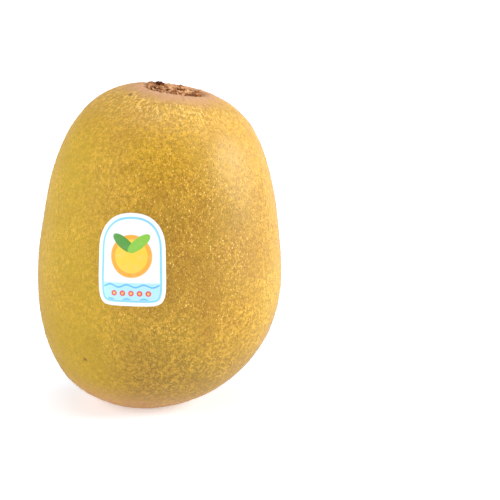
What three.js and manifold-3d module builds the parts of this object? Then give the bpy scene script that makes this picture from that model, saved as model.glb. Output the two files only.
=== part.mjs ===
// A whole golden kiwi fruit standing on its blossom end, in millimetres with +Z up.
// The fruit's own axis leans towards +X, and it rests on a small flat spot in the plane z = 0.
// The origin lies on that plane, under the middle of the object's bounding box.
import * as THREE from "three";
import { mergeVertices } from "three/addons/utils/BufferGeometryUtils.js";
import Module from "manifold-3d";

const wasm = await Module();
wasm.setup();

// Body of the fruit
const HALF_WIDTH = 30.4; // radius at the middle, before the swelling on one side
const HALF_LENGTH = 40.9; // from the middle to either end, along the fruit's axis
const DEPTH_SHARE = 0.95; // front to back, against side to side
const TAPER = 0.13; // share by which the blossom end is wider and the stem end narrower
const SWELLING = 0.08; // share by which the +X side bulges at the middle
const SHOULDER = 0.1; // share by which that bulge moves down towards the blossom end
const RIPPLE = { height: 0.004, ribs: 3, turn: 0.8 }; // low ribs, as a share of the radius
const STEM_END = { along: 2.8, across: 3.35 }; // superellipse powers, blunt where they are high
const BLOSSOM_END = { along: 2.0, across: 2.0 };
const LEAN = THREE.MathUtils.degToRad(8.5); // of the fruit's axis, from upright towards +X
const FLAT_CUT = 1.1; // height that the flat spot takes off the rounded end

const GAP = 0.3; // between the fruit and the pieces in its dish and in its dimple

// Dish that holds the calyx at the stem end, with a low collar of skin round it
const DISH = { radius: 7.2, wall: 2.8, depth: 1.1 };
const COLLAR = { radius: 9.4, width: 2.2, height: 0.3 };

// Dimple that holds the dried styles at the blossom end
const DIMPLE = { radius: 3.2, wall: 1.8, depth: 2.8 };

// Calyx: the woody scar of the stalk, with dried, broken sepals pressed round it
const CALYX = { radius: 6.7, rim: 0.5, roughness: 0.4, raggedness: 0.07 };
const SCAR = { x: 0.9, y: -0.5, radius: 2.2, wall: 0.8, height: 0.7, floor: 0.35 };
const SCAR_RAGGEDNESS = 0.12;
const SEPAL = { count: 7, reach: 4.8, length: 2.3, width: 1.8, thickness: 0.55, overhang: 0.4 };
const SEPAL_CURL = { along: 0.07, across: 0.08 }; // rise for each square millimetre outwards
const SEPAL_VARIETY = { lift: [0.35, 0.7], size: [0.8, 1.15], turn: 0.5, raggedness: 0.3 };
const CHIP = { count: 14, reach: 5.8, rise: 0.2, flatness: 0.8 };
const CHIP_VARIETY = { radius: [0.45, 0.8], stretch: [0.6, 1.4] };

// Dried styles: short brown stubs in a ring on a small pad
const PAD = { radius: 1.9, thickness: 0.45, raggedness: 0.06 };
const STYLES = { count: 14, ring: 1.35, width: 0.26, tip: 0.6, length: [0.56, 0.8] };
const STYLE_SPLAY = 0.45; // how far a stub's tip leans outwards, as a share of its length
const INNER_STYLES = { every: 4, ring: 0.47, splay: 0.2 };
const STYLE_VARIETY = { turn: 0.4, twist: 0.2 };

// Paper label with an arched top, stuck to the front
const LABEL = { halfWidth: 8.45, arch: 8.8, drop: 13.7, thickness: 0.2, clearance: 0.12 };
const ARCH_POWER = 2.3; // superellipse power of the label's top
const CORNER_POWER = 7; // superellipse power of its square end with rounded corners
const LABEL_TURN = THREE.MathUtils.degToRad(-98.8); // from +X round the fruit's axis
const LABEL_HEIGHT = 5.2; // of the label's widest line, above the middle of the fruit

// Colour and roughness of each piece
const LOOK = {
  fruit: { color: 0xb99544, roughness: 0.6 },
  calyx: { color: 0x8a5f43, roughness: 0.95 },
  dried_styles: { color: 0x4a3222, roughness: 0.95 },
  label: { color: 0xf2f2ee, roughness: 0.4 },
};

// How finely the surfaces are divided
const SKIN_RINGS = 44;
const SKIN_SECTORS = 56;
const RING_CROWDING = 0.75; // share by which the skin's rings draw together at the ends
const OUTLINE_STEPS = 400;
const CALYX_RINGS = 7;
const CALYX_SECTORS = 36;
const LABEL_RINGS = 5;
const LABEL_SECTORS = 40;
const SEPAL_RINGS = 2;
const SEPAL_SECTORS = 14;
const PAD_RINGS = 3;
const PAD_SECTORS = 18;
const STYLE_SIDES = 5;

const FULL_TURN = 2 * Math.PI;
const WELD = 1e-5; // points closer than this are one point
const SLOPE_STEP = 1e-3; // for measuring how the skin slopes
const HALVINGS = 30; // of the outline, in a search by height

// Scattered numbers, and the seeds that keep one use of them apart from another
const SCATTER = { index: 12.9898, seed: 78.233, scale: 43758.5453 };
const SEED = { edge: 3, scar: 5, crust: 11, sepal: 21, sepalEdge: 30, chip: 41, pad: 50, style: 51 };
const WAVES = [
  { count: 2, height: 0.45 },
  { count: 3, height: 0.3 },
  { count: 7, height: 0.25 },
];

// The same number from 0 to 1 each time for the same pair of numbers, without a visible order.
function scatter(index, seed) {
  const value = Math.sin(index * SCATTER.index + seed * SCATTER.seed) * SCATTER.scale;
  return value - Math.floor(value);
}

function between([low, high], index, seed) {
  return low + (high - low) * scatter(index, seed);
}

// A wave round a full turn, from about -1 to 1, that doesn't look regular.
function wobble(turn, seed) {
  return WAVES.reduce((sum, { count, height }, number) => {
    const phase = FULL_TURN * scatter(number + 1, seed);
    return sum + height * Math.sin(count * turn + phase);
  }, 0);
}

// 1 inside the radius and 0 outside it, with a smooth wall between.
function plateau(distance, radius, wall) {
  return 1 - THREE.MathUtils.smoothstep(distance, radius - wall / 2, radius + wall / 2);
}

// A point of the fruit's side outline: x is the distance from the axis, y the height along it.
function outlinePoint(angle) {
  const power = angle < Math.PI / 2 ? STEM_END : BLOSSOM_END;
  const out = Math.sin(angle);
  const left = Math.max(0, 1 - out ** power.across);
  const up = Math.sign(Math.cos(angle)) * left ** (1 / power.along);
  return new THREE.Vector2(HALF_WIDTH * out * (1 - TAPER * up), HALF_LENGTH * up);
}

const outline = new THREE.SplineCurve(
  Array.from({ length: OUTLINE_STEPS + 1 }, (_, step) =>
    outlinePoint((Math.PI * step) / OUTLINE_STEPS),
  ),
);
outline.arcLengthDivisions = 4 * OUTLINE_STEPS;
const OUTLINE_LENGTH = outline.getLength();

// A point of the skin in the fruit's own frame. along runs from 0 at the stem end to 1 at the
// blossom end, and turn goes round the axis from +X.
function skinPoint(along, turn) {
  const { x: out, y: height } = outline.getPointAt(along);
  const up = height / HALF_LENGTH;
  const middle = 1 - up * up;
  const bulge = (SWELLING - SHOULDER * up) * middle * Math.cos(turn);
  const rib = RIPPLE.height * middle * Math.cos(RIPPLE.ribs * turn + RIPPLE.turn);
  const radius = out * (1 + bulge + rib);
  const dish = up > 0 ? DISH.depth * plateau(out, DISH.radius, DISH.wall) : 0;
  const collar =
    up > 0 ? COLLAR.height * Math.exp(-(((out - COLLAR.radius) / COLLAR.width) ** 2)) : 0;
  const dimple = up < 0 ? DIMPLE.depth * plateau(out, DIMPLE.radius, DIMPLE.wall) : 0;
  return new THREE.Vector3(
    radius * Math.cos(turn),
    radius * Math.sin(turn) * DEPTH_SHARE,
    height - dish + collar + dimple,
  );
}

// Up, in the fruit's own frame, once its axis leans.
const UP = new THREE.Vector3(-Math.sin(LEAN), 0, Math.cos(LEAN));

// Height of the fruit's middle over the surface that it rests on. The rounded end would reach
// lowest on its +X side, before the dimple and the flat spot are made.
const REST_HEIGHT =
  Math.max(...outline.points.map(({ x, y }) => -x * UP.x - y * UP.z)) - FLAT_CUT;

// The same point, lifted to the resting surface if it would lie below it.
function keptAboveSurface(point) {
  const below = Math.max(0, -REST_HEIGHT - point.dot(UP));
  return point.addScaledVector(UP, below);
}

// A closed surface through rings of points. The first and last rings are single points, and
// each other ring runs anticlockwise, seen from the first.
function surfaceOfRings(rings, sectors, pointAt) {
  const points = [pointAt(0, 0)];
  for (let ring = 1; ring < rings; ring++)
    for (let sector = 0; sector < sectors; sector++)
      points.push(pointAt(ring, (FULL_TURN * sector) / sectors));
  points.push(pointAt(rings, 0));
  const last = points.length - 1;
  const indices = [];
  for (let sector = 0; sector < sectors; sector++) {
    const next = (sector + 1) % sectors;
    indices.push(0, 1 + sector, 1 + next);
    for (let ring = 0; ring < rings - 2; ring++) {
      const above = 1 + ring * sectors;
      const below = above + sectors;
      indices.push(above + sector, below + sector, below + next);
      indices.push(above + sector, below + next, above + next);
    }
    indices.push(last, last - sectors + next, last - sectors + sector);
  }
  const geometry = new THREE.BufferGeometry().setFromPoints(points);
  geometry.setIndex(indices);
  return geometry;
}

// A closed sheet whose outline is a blob: place(share, turn, side) gives its points, where share
// runs from 0 at the middle to 1 at the edge, and side is 1 on its top and 0 underneath.
function sheet(rings, sectors, place) {
  return surfaceOfRings(2 * rings + 1, sectors, (ring, turn) =>
    ring <= rings
      ? place(ring / rings, turn, 1)
      : place((2 * rings + 1 - ring) / rings, turn, 0),
  );
}

function solidOf(geometry) {
  const bare = geometry.clone();
  bare.deleteAttribute("normal");
  bare.deleteAttribute("uv");
  const merged = mergeVertices(bare, WELD);
  return new wasm.Manifold(
    new wasm.Mesh({
      numProp: 3,
      vertProperties: merged.getAttribute("position").array,
      triVerts: new Uint32Array(merged.getIndex().array),
    }),
  );
}

// Geometries that overlap, joined into one body. Keeping only the largest closed surface fills
// any hollow that the joining seals, and drops a loose scrap.
function joined(geometries) {
  const whole = geometries.map(solidOf).reduce((sum, piece) => sum.add(piece));
  const [body] = whole.decompose().sort((one, other) => other.volume() - one.volume());
  const mesh = body.getMesh();
  const geometry = new THREE.BufferGeometry();
  geometry.setAttribute("position", new THREE.BufferAttribute(mesh.vertProperties, 3));
  geometry.setIndex(new THREE.BufferAttribute(mesh.triVerts, 1));
  return geometry;
}

// The fruit: one solid, skin and flesh together.
function fruitGeometry() {
  return surfaceOfRings(SKIN_RINGS, SKIN_SECTORS, (ring, turn) => {
    const even = ring / SKIN_RINGS;
    const along = even - (RING_CROWDING * Math.sin(2 * FULL_TURN * even)) / (2 * FULL_TURN);
    return keptAboveSurface(skinPoint(along, turn));
  });
}

// A point over the skin near the stem end, by its distance and turn from the fruit's axis.
function stemPoint(distance, turn, height) {
  const point = skinPoint(Math.max(0, distance) / OUTLINE_LENGTH, turn);
  point.z += height;
  return point;
}

// Height of the woody crust over the dish. The stalk's scar is a pit with a raised wall.
function crustHeight(distance, turn, cell) {
  const x = distance * Math.cos(turn) - SCAR.x;
  const y = distance * Math.sin(turn) - SCAR.y;
  const ragged = 1 + SCAR_RAGGEDNESS * wobble(Math.atan2(y, x), SEED.scar);
  const fromScar = Math.hypot(x, y) * ragged;
  const wall = SCAR.height * Math.exp(-(((fromScar - SCAR.radius) / SCAR.wall) ** 2));
  const pit = plateau(fromScar, SCAR.radius - SCAR.wall / 2, SCAR.wall);
  const rough = CALYX.roughness * scatter(cell, SEED.crust);
  return (CALYX.rim + wall + rough) * (1 - pit) + SCAR.floor * pit;
}

function crust() {
  const step = CALYX.radius / CALYX_RINGS;
  return sheet(CALYX_RINGS, CALYX_SECTORS, (share, turn, side) => {
    const distance = share * CALYX.radius * (1 + CALYX.raggedness * wobble(turn, SEED.edge));
    const sector = Math.round((turn / FULL_TURN) * CALYX_SECTORS);
    const cell = Math.round(distance / step) * CALYX_SECTORS + sector;
    const top = side * crustHeight(distance, turn, cell);
    return stemPoint(distance, turn, GAP + top);
  });
}

// One dried sepal: a ragged plate that curls up towards its free end.
function sepal(number) {
  const jitter = SEPAL_VARIETY.turn * scatter(number, SEED.sepal);
  const heading = (FULL_TURN * (number + jitter)) / SEPAL.count;
  const lift = between(SEPAL_VARIETY.lift, number, SEED.sepal + 1);
  const size = between(SEPAL_VARIETY.size, number, SEED.sepal + 2);
  return sheet(SEPAL_RINGS, SEPAL_SECTORS, (share, angle, side) => {
    const ragged = 1 + SEPAL_VARIETY.raggedness * wobble(angle, SEED.sepalEdge + number);
    const reach = share * size * ragged;
    const outwards = reach * SEPAL.length * Math.cos(angle);
    const sideways = reach * SEPAL.width * Math.sin(angle);
    const distance = Math.min(SEPAL.reach + outwards, CALYX.radius + SEPAL.overhang);
    const turn = heading + sideways / Math.max(distance, SEPAL.width);
    const tip = SEPAL_CURL.along * Math.max(0, outwards) ** 2;
    const edge = SEPAL_CURL.across * sideways ** 2;
    return stemPoint(distance, turn, lift + tip + edge + side * SEPAL.thickness);
  });
}

// A crumb of dried tissue, half sunk in the crust.
function chip(number) {
  const turn = FULL_TURN * scatter(number, SEED.chip);
  const distance = CHIP.reach * Math.sqrt(scatter(number, SEED.chip + 1));
  const stretch = between(CHIP_VARIETY.stretch, number, SEED.chip + 2);
  const radius = between(CHIP_VARIETY.radius, number, SEED.chip + 3);
  const place = stemPoint(distance, turn, GAP + CALYX.rim + CHIP.rise);
  return new THREE.IcosahedronGeometry(radius)
    .scale(1, stretch, CHIP.flatness)
    .rotateX(scatter(number, SEED.chip + 4))
    .rotateZ(FULL_TURN * scatter(number, SEED.chip + 5))
    .translate(place.x, place.y, place.z);
}

function calyxGeometry() {
  const sepals = Array.from({ length: SEPAL.count }, (_, number) => sepal(number));
  const chips = Array.from({ length: CHIP.count }, (_, number) => chip(number));
  return joined([crust(), ...sepals, ...chips]);
}

// A point under the skin near the blossom end. depth is measured down from the dimple's top.
function blossomPoint(distance, turn, depth) {
  const roof = skinPoint(1, 0).z - GAP;
  return new THREE.Vector3(distance * Math.cos(turn), distance * Math.sin(turn), roof - depth);
}

function stylePad() {
  return sheet(PAD_RINGS, PAD_SECTORS, (share, turn, side) => {
    const distance = share * PAD.radius * (1 + PAD.raggedness * wobble(turn, SEED.pad));
    return blossomPoint(distance, turn, (1 - side) * PAD.thickness);
  });
}

// One dried style: a tapered stub that leans away from the middle.
function style(number) {
  const inner = number % INNER_STYLES.every === 0;
  const ring = inner ? INNER_STYLES.ring : STYLES.ring;
  const splay = inner ? INNER_STYLES.splay : STYLE_SPLAY;
  const jitter = STYLE_VARIETY.turn * scatter(number, SEED.style);
  const turn = (FULL_TURN * (number + jitter)) / STYLES.count;
  const length = between(STYLES.length, number, SEED.style + 1);
  const twist = STYLE_VARIETY.twist * (scatter(number, SEED.style + 2) - 0.5);
  const from = blossomPoint(ring, turn, PAD.thickness / 2);
  const to = blossomPoint(ring + splay * length, turn + twist, PAD.thickness + length);
  const direction = to.clone().sub(from);
  const tip = STYLES.tip * STYLES.width;
  const stub = new THREE.CylinderGeometry(tip, STYLES.width, direction.length(), STYLE_SIDES);
  const upright = new THREE.Vector3(0, 1, 0);
  const turned = new THREE.Quaternion().setFromUnitVectors(upright, direction.normalize());
  const middle = from.add(to).multiplyScalar(0.5);
  return stub.applyQuaternion(turned).translate(middle.x, middle.y, middle.z);
}

function stylesGeometry() {
  return joined([
    stylePad(),
    ...Array.from({ length: STYLES.count }, (_, number) => style(number)),
  ]);
}

// Share of the outline's length at which the skin has this height along the fruit's axis.
function alongAtHeight(height) {
  let low = 0;
  let high = 1;
  for (let halving = 0; halving < HALVINGS; halving++) {
    const middle = (low + high) / 2;
    if (outline.getPointAt(middle).y > height) low = middle;
    else high = middle;
  }
  return (low + high) / 2;
}

// A point at a small distance off the skin, by its place on the flat label.
function labelPoint(across, up, lift) {
  const level = LABEL_HEIGHT + up * Math.cos(LEAN) + across * Math.sin(LEAN);
  const sideways = across * Math.cos(LEAN) - up * Math.sin(LEAN);
  const along = alongAtHeight(level);
  const turn = LABEL_TURN + sideways / HALF_WIDTH;
  const point = skinPoint(along, turn);
  const down = skinPoint(along + SLOPE_STEP, turn).sub(skinPoint(along - SLOPE_STEP, turn));
  const round = skinPoint(along, turn + SLOPE_STEP).sub(skinPoint(along, turn - SLOPE_STEP));
  return point.addScaledVector(down.cross(round).normalize(), lift);
}

// Distance from the middle of the label's widest line to its edge.
function labelEdge(angle) {
  const top = Math.sin(angle) > 0;
  const reach = top ? LABEL.arch : LABEL.drop;
  const power = top ? ARCH_POWER : CORNER_POWER;
  const across = Math.abs(Math.cos(angle)) / LABEL.halfWidth;
  const up = Math.abs(Math.sin(angle)) / reach;
  return (across ** power + up ** power) ** (-1 / power);
}

function labelGeometry() {
  return sheet(LABEL_RINGS, LABEL_SECTORS, (share, angle, side) => {
    const reach = share * labelEdge(angle);
    const lift = LABEL.clearance + side * LABEL.thickness;
    return labelPoint(reach * Math.cos(angle), reach * Math.sin(angle), lift);
  });
}

function namedMesh(name, geometry) {
  geometry.computeVertexNormals();
  const material = new THREE.MeshStandardMaterial({ ...LOOK[name], metalness: 0 });
  const mesh = new THREE.Mesh(geometry, material);
  mesh.name = name;
  return mesh;
}

// The pieces share the fruit's own frame, which leans and stands on its flat spot.
const leaning = new THREE.Group();
leaning.rotation.y = LEAN;
leaning.position.z = REST_HEIGHT;
leaning.add(
  namedMesh("fruit", fruitGeometry()),
  namedMesh("calyx", calyxGeometry()),
  namedMesh("dried_styles", stylesGeometry()),
  namedMesh("label", labelGeometry()),
);

const kiwi = new THREE.Group();
kiwi.add(leaning);
const middle = new THREE.Box3().setFromObject(kiwi, true).getCenter(new THREE.Vector3());
leaning.position.x -= middle.x;
leaning.position.y -= middle.y;

export default kiwi;
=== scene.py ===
import math

import bmesh
import bpy
import numpy as np
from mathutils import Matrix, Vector


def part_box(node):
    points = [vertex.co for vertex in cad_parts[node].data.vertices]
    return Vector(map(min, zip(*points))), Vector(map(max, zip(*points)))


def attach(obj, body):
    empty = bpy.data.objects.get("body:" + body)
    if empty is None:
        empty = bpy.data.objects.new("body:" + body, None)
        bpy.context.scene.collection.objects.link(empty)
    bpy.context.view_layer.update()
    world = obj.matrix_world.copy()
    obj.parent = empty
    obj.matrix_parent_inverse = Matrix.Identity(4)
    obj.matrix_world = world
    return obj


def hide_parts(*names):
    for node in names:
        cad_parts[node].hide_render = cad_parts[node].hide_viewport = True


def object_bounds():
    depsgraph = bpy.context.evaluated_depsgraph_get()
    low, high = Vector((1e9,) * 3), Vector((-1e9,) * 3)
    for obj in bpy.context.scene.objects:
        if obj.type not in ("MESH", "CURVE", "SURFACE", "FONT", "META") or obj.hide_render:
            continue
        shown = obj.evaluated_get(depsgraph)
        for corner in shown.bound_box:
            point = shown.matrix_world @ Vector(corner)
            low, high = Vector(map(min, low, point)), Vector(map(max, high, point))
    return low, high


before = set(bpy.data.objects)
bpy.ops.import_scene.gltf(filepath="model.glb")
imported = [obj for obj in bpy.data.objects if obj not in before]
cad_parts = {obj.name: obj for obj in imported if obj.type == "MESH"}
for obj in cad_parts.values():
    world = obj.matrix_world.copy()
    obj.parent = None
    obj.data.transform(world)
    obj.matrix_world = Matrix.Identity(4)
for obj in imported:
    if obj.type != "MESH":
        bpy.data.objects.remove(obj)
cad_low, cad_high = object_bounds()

# The fruit's body, in millimetres and with the same values as its solid
MM = 0.001
HALF_WIDTH = 30.4
HALF_LENGTH = 40.9
DEPTH_SHARE = 0.95
TAPER = 0.13
SWELLING = 0.08
SHOULDER = 0.1
RIPPLE = {"height": 0.004, "ribs": 3, "turn": 0.8}
STEM_END = {"along": 2.8, "across": 3.35}
BLOSSOM_END = {"along": 2.0, "across": 2.0}
LEAN = math.radians(8.5)
FLAT_CUT = 1.1
DISH = {"radius": 7.2, "wall": 2.8, "depth": 1.1}
COLLAR = {"radius": 9.4, "width": 2.2, "height": 0.3}
DIMPLE = {"radius": 3.2, "wall": 1.8, "depth": 2.8}

# Calyx, with the solid's values, and the finer forms on it. A shade is 0 on dark tissue and 1 on pale, and
# in the crust's hollows it also carries painted shade.
CALYX = {"radius": 6.7, "rim": 0.5, "roughness": 0.4, "raggedness": 0.07}
CALYX_CELLS = {"rings": 7, "sectors": 36}
SCAR = {"x": 0.9, "y": -0.5, "radius": 2.2, "wall": 0.8, "height": 0.7, "floor": 0.35}
SCAR_RAGGEDNESS = 0.12
CRUST_LIFT = 0.05  # of the crust's underside above the skin
CRUST_GRAIN = {"wavelength": 0.9, "finer": 2.4, "height": 0.16}
# the crust's shade by height and grain paints shade into its hollows, over the tissue's own tone
CRUST_SHADE = {"least": 0.1, "height": 0.45, "grain": 2.2}
SEPAL = {"count": 7, "reach": 4.8, "length": 2.3, "width": 1.8, "thickness": 0.55, "overhang": 0.4}
SEPAL_CURL = {"along": 0.07, "across": 0.08}
SEPAL_VARIETY = {"lift": (0.35, 0.7), "size": (0.8, 1.15), "turn": 0.5, "raggedness": 0.3}
SEPAL_TEETH = ({"count": 23, "height": 0.06, "shift": 1}, {"count": 37, "height": 0.04, "shift": 0})
SEPAL_TAPER = {"middle": 1.1, "loss": 0.5}
SEPAL_VEINS = {"closeness": 18.0, "height": 0.07}
SEPAL_GRAIN = {"wavelength": 0.7, "height": 0.08}
SEPAL_SHADE = {"least": 0.55, "variety": 0.25, "vein": 2.0, "grain": 0.15}
CRUMB = {"count": 300, "reach": 6.5, "radius": (0.18, 0.62), "stretch": (0.5, 1.5), "flatness": 0.7,
         "rise": 0.62, "variety": 0.25}
CRUMB_LUMPS = {"span": 3.0, "apart": 10, "wavelength": 3.0, "height": 0.35}
CLUMP = {"count": 9, "x": -4.0, "y": 3.9, "spread": 1.7, "rise": 1.35, "radius": (0.3, 0.6), "shade": 0.3}
CLUMP_LUMPS = {"span": 3.0, "apart": 7, "wavelength": 2.6, "height": 0.4}
FIBRE = {"count": 110, "distance": (4.4, 6.7), "rise": 0.4, "length": (0.5, 1.5), "width": 0.07,
         "sway": 1.6, "lift": (0.1, 0.55)}

# Dried styles at the blossom end, with the gap between the dimple's skin and their pad
PAD = {"radius": 1.9, "thickness": 0.45, "raggedness": 0.06}
PAD_GAP = 0.1
PAD_GRAIN = {"wavelength": 0.7, "height": 0.07}
PAD_SHADE = {"least": 0.3, "grain": 3.0}
STRAND = {"count": 70, "ring": 1.6, "length": (0.5, 0.95), "width": 0.11, "splay": 0.9}

# Label, and how far from its edge the hairs begin
LABEL = {"halfWidth": 8.45, "arch": 8.8, "drop": 13.7, "thickness": 0.14, "lift": 0.03}
ARCH_POWER = 2.3
CORNER_POWER = 7
LABEL_TURN = math.radians(-98.8)
LABEL_HEIGHT = 5.2
LABEL_MARGIN = 0.25

# Low waves in the skin: wavelength and height
SKIN_WAVES = ((17.0, 0.10), (7.0, 0.05), (3.0, 0.022))
# Creases round the stem end: strongest at "from", with none nearer the stem than where "rise" starts
CREASE = {"round": 8.0, "length": 7.0, "height": 0.09, "from": 8.5, "reach": 7.0, "rise": (4.0, 8.0)}
FAR_FROM_STEM = 40.0  # given to all points of the lower half

# Small dark marks on the skin: share of the outline's length, and turn round the axis in degrees
MARKS = ((0.117, -141), (0.73, -119.5), (0.45, 40), (0.62, 115))

# Streaks towards the stem end: how many go round, their length, and their noise
STREAK = {"round": 34.0, "length": 1.05, "noise": (1.0, 2.0, 0.5), "distortion": 0.6}

# Short hairs on the skin, which is bare near the axis beyond the height "ends", and near the floor
HAIR = {"count": 46000, "length": (0.25, 0.7), "width": 0.035, "stand": (0.22, 0.77), "root": 0.05,
        "ends": 20.0, "off_floor": 0.6}
HAIR_PIECES = 2

# How finely the surfaces are divided
SKIN_GRID = (250, 390)
COARSE_GRID = (44, 56)
CRUST_GRID = (46, 200)
SEPAL_GRID = (10, 56)
LABEL_GRID = (44, 220)
PAD_GRID = (10, 48)
BALL_DIVISIONS = 3
SPIKE_SIDES = 3
SPIKE_POINTS = SPIKE_SIDES + 1
NEARLY_UPRIGHT = 0.9
RING_CROWDING = 0.75
OUTLINE_STEPS = 4000
AREA_STEPS = 1000
EDGE_STEPS = 1440
SHORT_STEP = 1e-3
TINY = 1e-9

FULL_TURN = 2 * math.pi

# Scattered numbers, and the seeds that keep one use of them apart from another
SCATTER = {"index": 12.9898, "seed": 78.233, "scale": 43758.5453}
SEED = {"edge": 3, "scar": 5, "crust": 11, "sepal": 21, "sepal_edge": 30, "pad": 50, "strand": 61,
        "crumb": 71, "fibre": 91, "skin": 101, "hair": 121, "grain": 141, "crease": 151, "clump": 161}
WAVES = ((2, 0.45), (3, 0.3), (7, 0.25))


# Scattered numbers and smooth waves

def scatter(index, seed):
    value = np.sin(index * SCATTER["index"] + seed * SCATTER["seed"]) * SCATTER["scale"]
    return value - np.floor(value)


def between(limits, index, seed):
    return limits[0] + (limits[1] - limits[0]) * scatter(index, seed)


def wobble(turn, seed):
    phases = [FULL_TURN * scatter(number + 1, seed) for number in range(len(WAVES))]
    return sum(height * np.sin(count * turn + phase)
               for (count, height), phase in zip(WAVES, phases))


def smoothstep(value, low, high):
    share = np.clip((value - low) / (high - low), 0, 1)
    return share * share * (3 - 2 * share)


def plateau(distance, radius, wall):
    return 1 - smoothstep(distance, radius - wall / 2, radius + wall / 2)


def ripples(points, wavelength, seed, count=14):
    """A smooth field over points without a visible order, mostly between -1 and 1."""
    number = np.arange(count)
    rise = 2 * scatter(number, seed) - 1
    heading = FULL_TURN * scatter(number, seed + 1)
    level = np.sqrt(1 - rise ** 2)
    directions = np.stack([level * np.cos(heading), level * np.sin(heading), rise])
    phase = FULL_TURN * scatter(number, seed + 2)
    waves = np.sin(points @ directions * FULL_TURN / wavelength + phase)
    return waves.sum(-1) / math.sqrt(2 * count)


# The fruit's shape

def side_outline():
    """Distances along the side outline, with the distance from the axis and the height there."""
    angle = np.linspace(0, math.pi, OUTLINE_STEPS + 1)
    stem = angle < math.pi / 2
    across = np.where(stem, STEM_END["across"], BLOSSOM_END["across"])
    along = np.where(stem, STEM_END["along"], BLOSSOM_END["along"])
    out = np.sin(angle)
    left = np.maximum(0, 1 - out ** across)
    up = np.sign(np.cos(angle)) * left ** (1 / along)
    radius = HALF_WIDTH * out * (1 - TAPER * up)
    height = HALF_LENGTH * up
    steps = np.hypot(np.diff(radius), np.diff(height))
    return np.concatenate([[0], np.cumsum(steps)]), radius, height


OUTLINE_AT, OUTLINE_OUT, OUTLINE_HEIGHT = side_outline()
OUTLINE_LENGTH = OUTLINE_AT[-1]
REST_HEIGHT = np.max(OUTLINE_OUT * math.sin(LEAN) - OUTLINE_HEIGHT * math.cos(LEAN)) - FLAT_CUT
UP = np.array([-math.sin(LEAN), 0, math.cos(LEAN)])


def skin_point(along, turn):
    along = np.asarray(along, float)
    out = np.interp(along * OUTLINE_LENGTH, OUTLINE_AT, OUTLINE_OUT)
    height = np.interp(along * OUTLINE_LENGTH, OUTLINE_AT, OUTLINE_HEIGHT)
    up = height / HALF_LENGTH
    middle = 1 - up * up
    bulge = (SWELLING - SHOULDER * up) * middle * np.cos(turn)
    rib = RIPPLE["height"] * middle * np.cos(RIPPLE["ribs"] * turn + RIPPLE["turn"])
    radius = out * (1 + bulge + rib)
    dish = np.where(up > 0, DISH["depth"] * plateau(out, DISH["radius"], DISH["wall"]), 0)
    ring = np.exp(-(((out - COLLAR["radius"]) / COLLAR["width"]) ** 2))
    collar = np.where(up > 0, COLLAR["height"] * ring, 0)
    dimple = np.where(up < 0, DIMPLE["depth"] * plateau(out, DIMPLE["radius"], DIMPLE["wall"]), 0)
    return np.stack([radius * np.cos(turn), radius * np.sin(turn) * DEPTH_SHARE,
                     height - dish + collar + dimple], -1)


def skin_normal(along, turn):
    above = skin_point(np.maximum(along - SHORT_STEP, 0), turn)
    below = skin_point(np.minimum(along + SHORT_STEP, 1), turn)
    sideways = skin_point(along, turn + SHORT_STEP) - skin_point(along, turn - SHORT_STEP)
    normal = np.cross(below - above, sideways)
    length = np.linalg.norm(normal, axis=-1, keepdims=True)
    pole = np.array([0.0, 0.0, 1.0]) * np.where(np.asarray(along)[..., None] < 0.5, 1, -1)
    return np.where(length > TINY, normal / np.maximum(length, TINY), pole)


def kept_above_surface(points):
    below = np.maximum(0, -REST_HEIGHT - points @ UP)
    return points + below[..., None] * UP


def leaned(points):
    """Points of the fruit's own frame, turned to its lean."""
    x = points[..., 0] * math.cos(LEAN) + points[..., 2] * math.sin(LEAN)
    z = -points[..., 0] * math.sin(LEAN) + points[..., 2] * math.cos(LEAN)
    return np.stack([x, points[..., 1], z], -1)


def relief(along, turn):
    """Height of the skin's low waves and of the creases round the stem end."""
    points = skin_point(along, turn)
    height = sum(size * ripples(points, wavelength, SEED["skin"] + 3 * number)
                 for number, (wavelength, size) in enumerate(SKIN_WAVES))
    distance = np.hypot(points[..., 0], points[..., 1])
    fade = np.exp(-(((distance - CREASE["from"]) / CREASE["reach"]) ** 2)) * (points[..., 2] > 0)
    around = CREASE["round"] * np.stack([np.cos(turn), np.sin(turn)], -1)
    rounds = np.concatenate([around, distance[..., None] / CREASE["length"]], -1)
    creases = CREASE["height"] * fade * ripples(rounds, 1.0, SEED["crease"])
    return height + creases * smoothstep(distance, *CREASE["rise"])


def crowded(share):
    return share - RING_CROWDING * np.sin(2 * FULL_TURN * share) / (2 * FULL_TURN)


# Where the fruit's own frame lies in the object's frame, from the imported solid
def frame_place():
    rings, sectors = COARSE_GRID
    along, turn = np.meshgrid(crowded(np.arange(rings + 1) / rings),
                              FULL_TURN * np.arange(sectors) / sectors, indexing="ij")
    coarse = leaned(kept_above_surface(skin_point(along, turn))).reshape(-1, 3)
    return np.array(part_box("fruit")[0]) / MM - coarse.min(0)


PLACE = frame_place()


def in_place(points):
    """Points of the fruit's own frame in millimetres, as points of the object's in metres."""
    return (leaned(points) + PLACE) * MM


# Making meshes

def ring_grid(rings, sectors):
    """Ring shares and turns of a closed surface whose first and last rings are single points."""
    share = np.repeat(np.arange(1, rings) / rings, sectors)
    turn = np.tile(FULL_TURN * np.arange(sectors) / sectors, rings - 1)
    return np.concatenate([[0], share, [1]]), np.concatenate([[0], turn, [0]])


def ring_faces(rings, sectors):
    last = (rings - 1) * sectors + 1
    sector = np.arange(sectors)
    following = (sector + 1) % sectors
    faces = [(0, 1 + a, 1 + b) for a, b in zip(sector, following)]
    for ring in range(rings - 2):
        above = 1 + ring * sectors
        below = above + sectors
        faces += [(above + a, below + a, below + b, above + b) for a, b in zip(sector, following)]
    faces += [(last, last - sectors + b, last - sectors + a) for a, b in zip(sector, following)]
    return [tuple(int(corner) for corner in face) for face in faces]


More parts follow.
